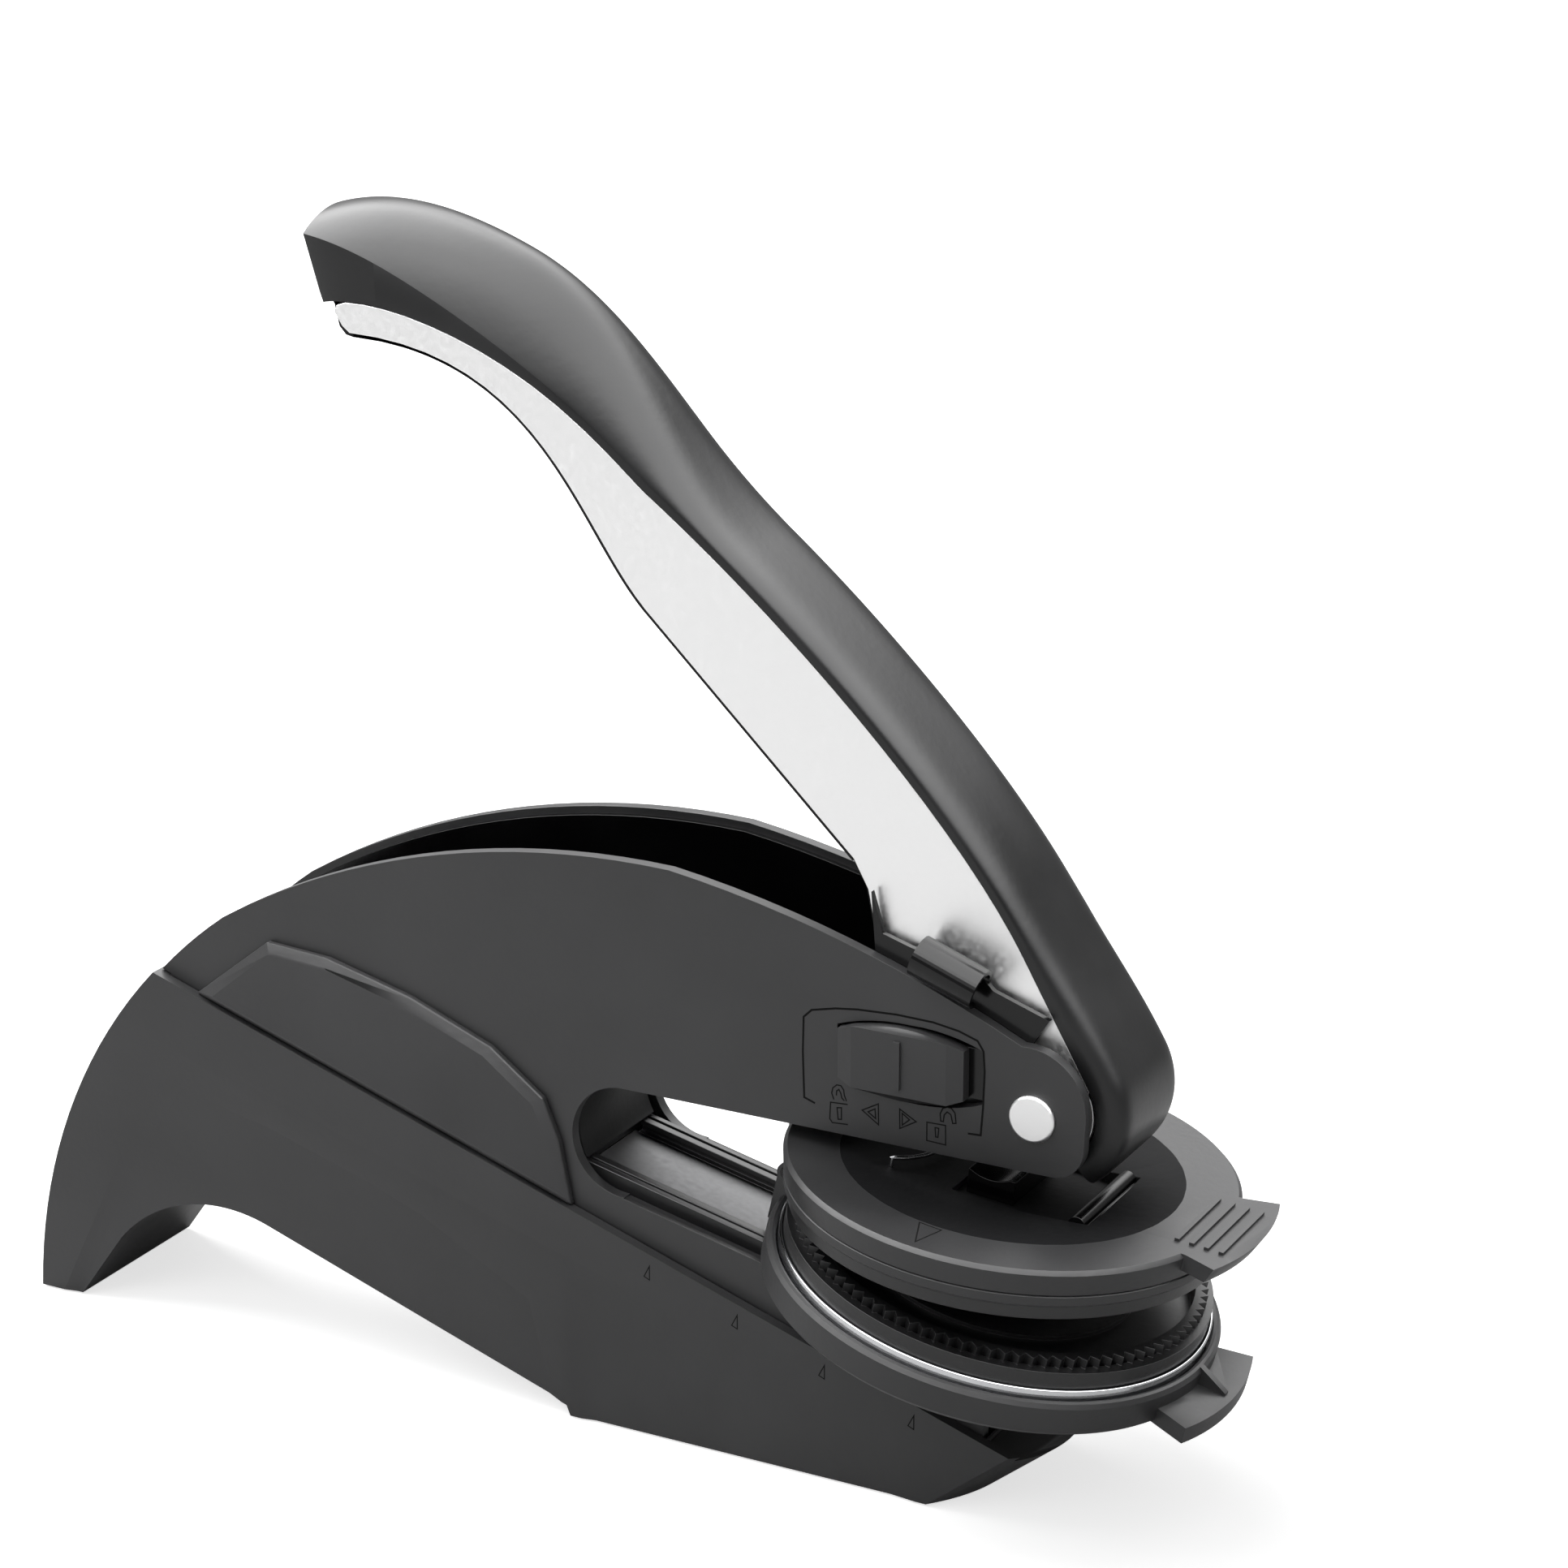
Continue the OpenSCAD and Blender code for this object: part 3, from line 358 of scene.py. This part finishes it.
ELBOW_TURN, WRAP_FROM, WRAP_TO = 7.0, 30, -54
SHANK_MM, PULL_MM = 18, 29
uphill = np.array([-0.5, 0.866])
wrap_in = pin[[0, 2]] + ELBOW_TURN * np.array([np.cos(np.radians(WRAP_FROM)), np.sin(np.radians(WRAP_FROM))])
seam_end = wrap_in + SHANK_MM * uphill
hand = np.array([[-37, 143.2], [-12.9, 147.3], seam_end + PULL_MM * uphill, seam_end])
# The points crowd towards the rear end, where the form changes fastest
grip_line = bezier(hand, np.linspace(0, 1, 240)[:, None] ** 1.4)
shank_line = seam_end + (wrap_in - seam_end) * np.linspace(0, 1, 17)[1:, None]
turn = np.radians(np.linspace(WRAP_FROM, WRAP_TO, 49)[1:, None])
elbow_line = pin[[0, 2]] + ELBOW_TURN * np.concatenate([np.cos(turn), np.sin(turn)], 1)
seam = np.concatenate([grip_line, shank_line, elbow_line])
steps = np.linalg.norm(np.diff(seam, axis=0), axis=1)
s = np.concatenate([[0], np.cumsum(steps)])[:, None]
bend_s = s[len(grip_line) + len(shank_line) - 1]
print("seam: %d points, %.1f mm long" % (len(seam), s[-1, 0]))


# %% The cover's cross-section
def eased(x):
    """Falls from 1 to 0 as x goes from 0 to 1, level at both ends: half a cosine wave."""
    return 0.5 + 0.5 * np.cos(np.pi * np.clip(x, 0, 1))


HALF_WIDTH, CHANNEL_HALF, CHANNEL_H = 8.4, 7.22, 1.4
GRIP_H, STRAP_H, BEND_H = 12.6, 2.5, 1.4  # height at the palm, on the shank, and the bend's extra
PALM_MM, NECK_MM, FLATTEN_MM, BEND_MM = 20, 44, 60, 24  # lengths over which the section changes
RISE_H, RISE_MM = 1.3, 50
SWELL, SWELL_AT, SWELL_REACH, SWELL_MM = 2.6, 6, 7.8, 15

bent = 1 - eased((s - bend_s + BEND_MM) / BEND_MM)
flattened = 1 - eased((s - PALM_MM) / FLATTEN_MM)
# Under the palm the steel rises a little into the cover's side, by this much
rise = RISE_H * np.sin(np.pi * np.clip(s / RISE_MM, 0, 1) ** 1.4) ** 1.2
side_h = 0.8 + 7.9 * np.exp(-s / 14) + 0.4 * bent + 0.65 * rise
full_h = STRAP_H + (GRIP_H - STRAP_H) * eased((s - PALM_MM) / NECK_MM) + BEND_H * bent
full_h *= 1 - 0.09 * np.exp(-s / 10)
roundness = 2.2 + 2.6 * flattened + 7 * bent
shoulder = 1.02 + 0.98 * flattened
half = HALF_WIDTH * (1 - 0.08 * np.exp(-s / 2.5))
# Height of the crown over a place y across: side + rise * (1 - |y/half|^roundness)^(1/shoulder)
y = -half * np.cos(np.linspace(0, np.pi, 65))[None, :]
inside = np.clip(1 - np.abs(y / half) ** roundness, 0, 1)
crown = side_h + np.maximum(full_h - side_h, 0.2) * inside ** (1 / shoulder)
flat = np.zeros_like(s)
channel, roof = flat + CHANNEL_HALF, flat + CHANNEL_H
across = np.hstack([-half, y, half, channel, channel, -channel, -channel])
above = np.hstack([rise, crown, rise, rise, roof, roof, rise])
ahead = np.gradient(seam, axis=0)
ahead /= np.linalg.norm(ahead, axis=1, keepdims=True)
square_to = np.stack([-ahead[:, 1], ahead[:, 0]], 1)
# The free end swells backwards, most at half its height
swell = SWELL * np.clip(1 - ((above - SWELL_AT) / SWELL_REACH) ** 2, 0, None) * np.exp(-s / SWELL_MM)
spine = seam[:, None, :] + above[..., None] * square_to[:, None, :] - swell[..., None] * ahead[:, None, :]
cover_grid = np.stack([spine[..., 0], across, spine[..., 1]], -1)
piece_of("handle_cover_fine", [cover_grid], "handle_cover", ["handle_cover"], radius_mm=0.3)

# %% [markdown]
# ## The steel under the palm
# The bright side plates fill the space that the cover leaves, so the upper edge of each
# plate's copy is moved up by the same amount, along the seam's own normal. The black core
# between the plates shows as a hairline below them. Its rim is a ribbon along the plates'
# lower edge, a little deeper where the edge runs steeply.

# %% The steel under the palm
PLATE_GAP, NEAR_SEAM = 0.08, 0.6
for name in ("lever_plate_right", "lever_plate_left"):
    mesh = soft[name].data
    place = np.empty(len(mesh.vertices) * 3)
    mesh.vertices.foreach_get("co", place)
    place = place.reshape(-1, 3) / MM
    away = np.linalg.norm(place[:, None, [0, 2]] - (seam - PLATE_GAP * square_to)[None], axis=2)
    nearest = away.argmin(1)
    lift = np.where(away.min(1) < NEAR_SEAM, rise[nearest, 0], 0.0)[:, None] * square_to[nearest]
    place[:, [0, 2]] += lift
    mesh.vertices.foreach_set("co", (place * MM).ravel())
    mesh.update()
    print(name, "edge raised by up to %.2f mm" % np.abs(lift).max())

RIM_HALF, RIM_TUCK, RIM_DEEP, RIM_STEEP = 7.2, 0.3, 0.67, 0.42
rear = [[-35.75, 143.6], [-35.4, 141.9], [-35.1, 140.5], [-34.6, 139.85], [-33.9, 139.6]]
under = np.array([[-34, 139.6], [-5.9, 139.4], [-1.5, 118.9], [8, 109.4]])
belly = bezier(under, np.linspace(0, 1, 90)[1:, None])
edge = np.vstack([rear, belly, [[36.6, 82]]])
out = np.gradient(edge, axis=0)
out /= np.linalg.norm(out, axis=1, keepdims=True)
out = np.stack([out[:, 1], -out[:, 0]], 1)
low, high = edge + out * (RIM_DEEP + RIM_STEEP * np.abs(out[:, :1])), edge + out * RIM_TUCK
sides = [(low, -RIM_HALF), (low, RIM_HALF), (high, RIM_HALF), (high, -RIM_HALF)]
rim = np.stack([np.insert(line, 1, y_mm, axis=1) for line, y_mm in sides], 1)
piece_of("handle_core_rim", [rim], "handle_core")

# %% [markdown]
# ## The sunken middle of the upper disc
# The dish in the upper disc looks duller and blacker than the smooth rim round it. The copy's
# faces inside the dish's edge get a second, darker and duller copy of the disc plastic: painted
# shade of the sunken middle. That edge is kept a clear line.

# %% The sunken middle of the upper disc
DISH_R, DISH_SLACK, DISH_LOW = 21.5, 0.2, -2.7
LEVEL, UPWARD = 0.05, 0.3  # how near the disc's top the edge lies, and the least upward slant
# The dish's near-black colour and low gloss are painted shade of the sunken middle.
dish_painted_shade = plastic("black ABS with painted dish shade", "#0d0d0e", "#131314", 0.62, 0.35, 0.35, gloss=0.06)
lid_mesh = soft["upper_disc"].data
lid_mesh.materials.append(dish_painted_shade)


def values(items, key, per_item=1, kind=float):
    """One attribute of all of a mesh's items, as an array."""
    array = np.empty(len(items) * per_item, kind)
    items.foreach_get(key, array)
    return array.reshape(-1, per_item) if per_item > 1 else array


spots = tipped(values(lid_mesh.vertices, "co", 3) / MM - lid_centre, -LID_TILT, 0)
from_axis = np.hypot(spots[:, 0], spots[:, 1])
corner = values(lid_mesh.loops, "vertex_index", kind=int)
first = values(lid_mesh.polygons, "loop_start", kind=int)
widest = np.maximum.reduceat(from_axis[corner], first)
lowest = np.minimum.reduceat(spots[corner, 2], first)
faces_up = values(lid_mesh.polygons, "normal", 3)[:, 2] > UPWARD
in_dish = (widest < DISH_R + DISH_SLACK) & (lowest > DISH_LOW) & faces_up
# Faces inside the dish take the painted shade.
lid_mesh.polygons.foreach_set("material_index", in_dish.astype(np.int32))
on_edge = (np.abs(from_axis - DISH_R) < DISH_SLACK) & (np.abs(spots[:, 2]) < LEVEL)
was_sharp = values(lid_mesh.edges, "use_edge_sharp", kind=bool)
between = on_edge[values(lid_mesh.edges, "vertices", 2, int)].all(1)
lid_mesh.edges.foreach_set("use_edge_sharp", was_sharp | between)
print("dish faces:", int(in_dish.sum()))

# %% [markdown]
# ## Wire, spring and ring
# A bowed wire lies across the upper disc, a coil returns the handle, and a polished band
# rings the lower die. The first two are a circle carried along a path. The band is a small
# profile turned about the clip's axis, with a round upper edge that holds the highlight.

# %% Wire, spring and ring
WIRE_SIDES, TURN_STEPS = 14, 240


def wire(path, radius):
    """A circle carried along a path: centre + radius * (side * cos + up * sin) for each point."""
    direction = np.gradient(path, axis=0)
    direction /= np.linalg.norm(direction, axis=1, keepdims=True)
    side = np.cross(direction, [0.001, 0.002, 1.0])
    side /= np.linalg.norm(side, axis=1, keepdims=True)
    up = np.cross(side, direction)
    a = np.linspace(0, 2 * np.pi, WIRE_SIDES, endpoint=False)
    circle = np.cos(a)[None, :, None] * side[:, None, :] + np.sin(a)[None, :, None] * up[:, None, :]
    return path[:, None, :] + radius * circle


def turned(profile):
    """A profile of (radius, height) turned about the Z axis."""
    a = np.linspace(0, 2 * np.pi, TURN_STEPS, endpoint=False)[:, None]
    r, h = profile[None, :, 0], profile[None, :, 1]
    return np.stack([r * np.cos(a), r * np.sin(a), h + 0 * a], -1)


LID_WIRE_R, BOW_AT, BOW_OUT, BOW_HALF, BOW_DIP, LEG = 0.28, -15.5, 6, 10, 1.2, 1.4
a = np.radians(np.linspace(-60, 60, 49))
bow = np.stack([BOW_AT + BOW_OUT * np.cos(a), BOW_HALF * np.sin(a), 0.55 - BOW_DIP * np.cos(a) ** 2], 1)
legs = bow[[0, -1]] - [0, 0, LEG]
bow = tipped(np.vstack([legs[:1], bow, legs[1:]]), LID_TILT, lid_centre)
piece_of("lid_wire_fine", [wire(bow, LID_WIRE_R)], "lid_wire", ["lid_wire"])

COIL_R, COIL_PITCH, COIL_WIRE, COIL_TURNS, COIL_Y = 3.6, 1.35, 0.45, 2.5, -2.5
a = np.linspace(0, COIL_TURNS * 2 * np.pi, 121)
along_y = COIL_Y - COIL_PITCH * a / (2 * np.pi)
coil = np.stack([pin[0] + COIL_R * np.cos(a), along_y, pin[2] + COIL_R * np.sin(a)], 1)
piece_of("handle_spring_fine", [wire(coil, COIL_WIRE)], "handle_spring", ["handle_spring"])

BAND_IN, BAND_OUT, BAND_LOW, BAND_TOP = 27.3, 27.7, -1.6, 1.0
half_t = (BAND_OUT - BAND_IN) / 2
a = np.linspace(0, np.pi, 9)
bead = np.stack([BAND_IN + half_t + half_t * np.cos(a), BAND_TOP - half_t + half_t * np.sin(a)], 1)
band = tipped(turned(np.vstack([[BAND_IN, BAND_LOW], [BAND_OUT, BAND_LOW], bead])), JAW_TILT, clip_centre)
piece_of("lower_ring_fine", [band], "lower_ring", ["lower_ring"], closed=True)

# %% [markdown]
# ## Engraved marks
# Thin grooves mark the lock: a frame round three sides of the button, two padlocks and two
# arrows. Small triangles count the steps along the base and mark the upper disc. Real
# grooves are 0.2 mm wide and look like dark hairlines from the shade inside them. No groove
# is cut here: each is a thin strip of painted shade that follows its line, sunk in the face
# so that it stands out by less than a hair.

# %% Engraved marks
SUNK, PROUD = 0.12, 0.015


def strip(line, width, closed=False):
    """A flat bar along a line in a plane: each point moves half the width to both sides, mitred."""
    line = np.array(line, float)
    after = np.roll(line, -1, 0) - line
    after /= np.linalg.norm(after, axis=1, keepdims=True)
    before = np.roll(after, 1, 0)
    if not closed:
        after[-1], before[0] = before[-1], after[0]
    out = np.stack([-(after + before)[:, 1], (after + before)[:, 0]], 1)
    out /= (out * np.stack([-after[:, 1], after[:, 0]], 1)).sum(1, keepdims=True)
    left, right = line + out * width / 2, line - out * width / 2
    corners = [(left, PROUD), (right, PROUD), (right, -SUNK), (left, -SUNK)]
    return np.stack([np.insert(flank, 2, height, axis=1) for flank, height in corners], 1)


def on_near_face(rows, face_y):
    """Plane points (x, z, proud) set on the near side's face at y = face_y."""
    return np.stack([rows[..., 0], face_y - rows[..., 2], rows[..., 1]], -1)


def on_lid(rows):
    """Plane points (x, y, proud) set on the upper disc's top."""
    return tipped(rows, LID_TILT, lid_centre)


# The strips' near-black colour is painted shade: it stands for the shade inside a groove.
painted_groove_shade = plastic("painted groove shade on black ABS", "#070707", "#0b0b0b", 0.9, gloss=0.1)
WALL_Y, SKIRT_Y = -11.2, -12.9
FRAME_WIDE, HAIR, STEP_WIDE, LID_WIDE = 0.26, 0.16, 0.13, 0.18

frame_line = [(33, 50.5), (31.5, 51), (31.3, 57), (31.4, 61.6), (32.5, 62.7), (35.8, 63.5), (38.8, 63.9),
              (44.1, 64.2), (49, 64.1), (52.4, 63.6), (54.9, 62.8), (55.7, 61.6), (55.9, 59),
              (55.75, 54.2), (55.5, 50.7), (53.8, 50.6)]
shackle = [(35.6, 51.5), (35.3, 52.3), (35.45, 53), (36, 53.5), (36.55, 53.5), (36.95, 53),
           (37.05, 52.3), (37.35, 51.6)]
eye = [(35.95, 52.1), (35.98, 52.7), (36.3, 52.95), (36.55, 52.5), (36.7, 51.9), (37.05, 51.6)]
body = [(37.5, 51.2), (35.15, 51.05), (35.05, 48.85), (35.4, 48.4), (37.55, 48.55)]
keyhole = [(36.05, 50.5), (36.65, 50.6), (36.65, 49.05), (36.2, 49)]
arrow_left = [(39.5, 50.85), (41.7, 52.1), (41.75, 49.35)]
inner_left = [(40.3, 50.78), (41.25, 51.35), (41.35, 50.1)]
arrow_right = [(44.6, 52), (44.65, 49.45), (46.85, 50.76)]
inner_right = [(44.95, 51.5), (45.95, 50.83), (44.97, 49.95)]
free_shackle = [(50.15, 51.5), (50.07, 52.45), (50.4, 53.2), (51, 53.5), (51.55, 53.45), (52.05, 52.9),
                (52.2, 51.6), (51.75, 51.5), (51.5, 52.6), (51, 52.85), (50.6, 52.4), (50.5, 51.5)]
free_body = [(48.3, 51), (48.3, 48.6), (50.85, 48.5), (50.8, 51.05)]
free_keyhole = [(49.4, 50.5), (49.9, 50.5), (49.8, 49.3), (49.5, 49.3)]

grooves = [strip(frame_line, FRAME_WIDE)] + [strip(line, HAIR) for line in (shackle, eye, body)]
piece_of("lock_marks", [on_near_face(g, WALL_Y) for g in grooves], "wall_right", looks=painted_groove_shade)
rings = [keyhole, arrow_left, inner_left, arrow_right, inner_right, free_shackle, free_body, free_keyhole]
signs = [on_near_face(strip(ring, HAIR, True), WALL_Y) for ring in rings]
piece_of("lock_signs", signs, "wall_right", closed=True, looks=painted_groove_shade)

STEP_AT = np.array([(9.8, 23.3), (22.5, 19.3), (34.9, 15.2), (47.4, 11.2)])
step_mark = np.array([(0.4, 0.95), (0.4, -0.95), (-0.4, -0.6)])
step_marks = [on_near_face(strip(step_mark + at, STEP_WIDE, True), SKIRT_Y) for at in STEP_AT]
piece_of("step_marks", step_marks, "base_skirt", closed=True, looks=painted_groove_shade)
lid_triangle = [(-0.4, -26.6), (-2.2, -21.8), (0.8, -22.0)]
lid_mark = on_lid(strip(lid_triangle, LID_WIDE, True))
piece_of("lid_mark", [lid_mark], "upper_disc", closed=True, looks=painted_groove_shade)

# %% [markdown]
# ## Floor and light
# The picture was made in a white tent. A large soft lamp hangs over the left side, a weaker
# one stands at the near left, and the world adds an even pale light. Shiny surfaces mirror
# the tent, whose top is bright and whose sides are dim: this draws the bright crown of the
# handle. The camera sees pure white, and the floor keeps only the object's soft shadow.

# %% The tent
WHITE = (1, 1, 1, 1)
EVEN_GLOW, SIDE_GLOW, TOP_GLOW = 0.3, 0.3, 6.2
SIDES_END, TOP_BEGINS = 0.38, 0.66  # as the height of a direction of length 1

world = bpy.data.worlds.new("tent")
bpy.context.scene.world = world
world.use_nodes = True
sky = world.node_tree
sky.nodes.clear()
rays = add(sky, "LightPath").outputs
height = add(sky, "SeparateXYZ", None, Vector=add(sky, "TexCoord").outputs["Generated"]).outputs["Z"]
mirrored = ramp(sky, height, SIDES_END, TOP_BEGINS, SIDE_GLOW, TOP_GLOW)
lit = add(sky, "Mix", None, Factor=rays["Is Glossy Ray"], A=EVEN_GLOW, B=mirrored).outputs[0]
seen = add(sky, "Math", {"operation": "MAXIMUM"}, _0=rays["Is Camera Ray"],
           _1=rays["Is Transmission Ray"]).outputs[0]
level = add(sky, "Mix", None, Factor=seen, A=lit, B=1.0).outputs[0]
glow = add(sky, "Background", None, Color=WHITE, Strength=level)
add(sky, "OutputWorld", None, Surface=glow.outputs[0])
print("tent: %.1f at the sides, %.1f at the top" % (SIDE_GLOW, TOP_GLOW))

# %% The floor
SIDE = 3.0
SHADOW_R, CLEAR_R = 0.1, 0.4  # the floor's own glow grows between these distances, in metres
SHADOW_GLOW, CLEAR_GLOW = 0.68, 0.9

floor_mesh = bpy.data.meshes.new("floor")
corners = [(-SIDE, -SIDE, 0), (SIDE, -SIDE, 0), (SIDE, SIDE, 0), (-SIDE, SIDE, 0)]
floor_mesh.from_pydata(corners, [], [(0, 1, 2, 3)])
floor = bpy.data.objects.new("floor", floor_mesh)
bpy.context.scene.collection.objects.link(floor)
paper, tree = new_tree("white backdrop paper")
rays = add(tree, "LightPath").outputs
place = add(tree, "TexCoord").outputs["Object"]
from_middle = add(tree, "VectorMath", {"operation": "LENGTH"}, Vector=place).outputs["Value"]
own_glow = ramp(tree, from_middle, SHADOW_R, CLEAR_R, SHADOW_GLOW, CLEAR_GLOW)
strength = add(tree, "Math", {"operation": "MULTIPLY"}, _0=rays["Is Camera Ray"], _1=own_glow).outputs[0]
matt = add(tree, "BsdfDiffuse", None, Color=linear("#f4f4f4")).outputs[0]
light = add(tree, "Emission", None, Color=WHITE, Strength=strength).outputs[0]
both = add(tree, "AddShader", None, _0=matt, _1=light).outputs[0]
add(tree, "OutputMaterial", None, Surface=both)
floor_mesh.materials.append(paper)
print("floor: %.0f m wide" % (2 * SIDE))


# %% The lamps
def lamp(name, where, aim, size, watts):
    """A square soft lamp at a place in metres, turned to face the aim point."""
    data = bpy.data.lights.new(name, "AREA")
    data.size = size
    data.energy = watts
    obj = bpy.data.objects.new(name, data)
    away = np.array(where) - np.array(aim)
    flat = math.hypot(away[0], away[1])
    obj.location = where
    obj.rotation_euler = (math.atan2(flat, away[2]), 0, math.atan2(away[0], -away[1]))
    bpy.context.scene.collection.objects.link(obj)
    print("%s: %.1f W, %.1f m wide" % (name, watts, size))


lamp("tent top", (-0.66, 0.05, 0.98), (0, 0, 0.1), 1.2, 15.0)
lamp("near side", (-0.3, -0.7, 0.6), (0, 0, 0.06), 0.6, 1.5)

bpy.context.scene.view_settings.view_transform = "Standard"
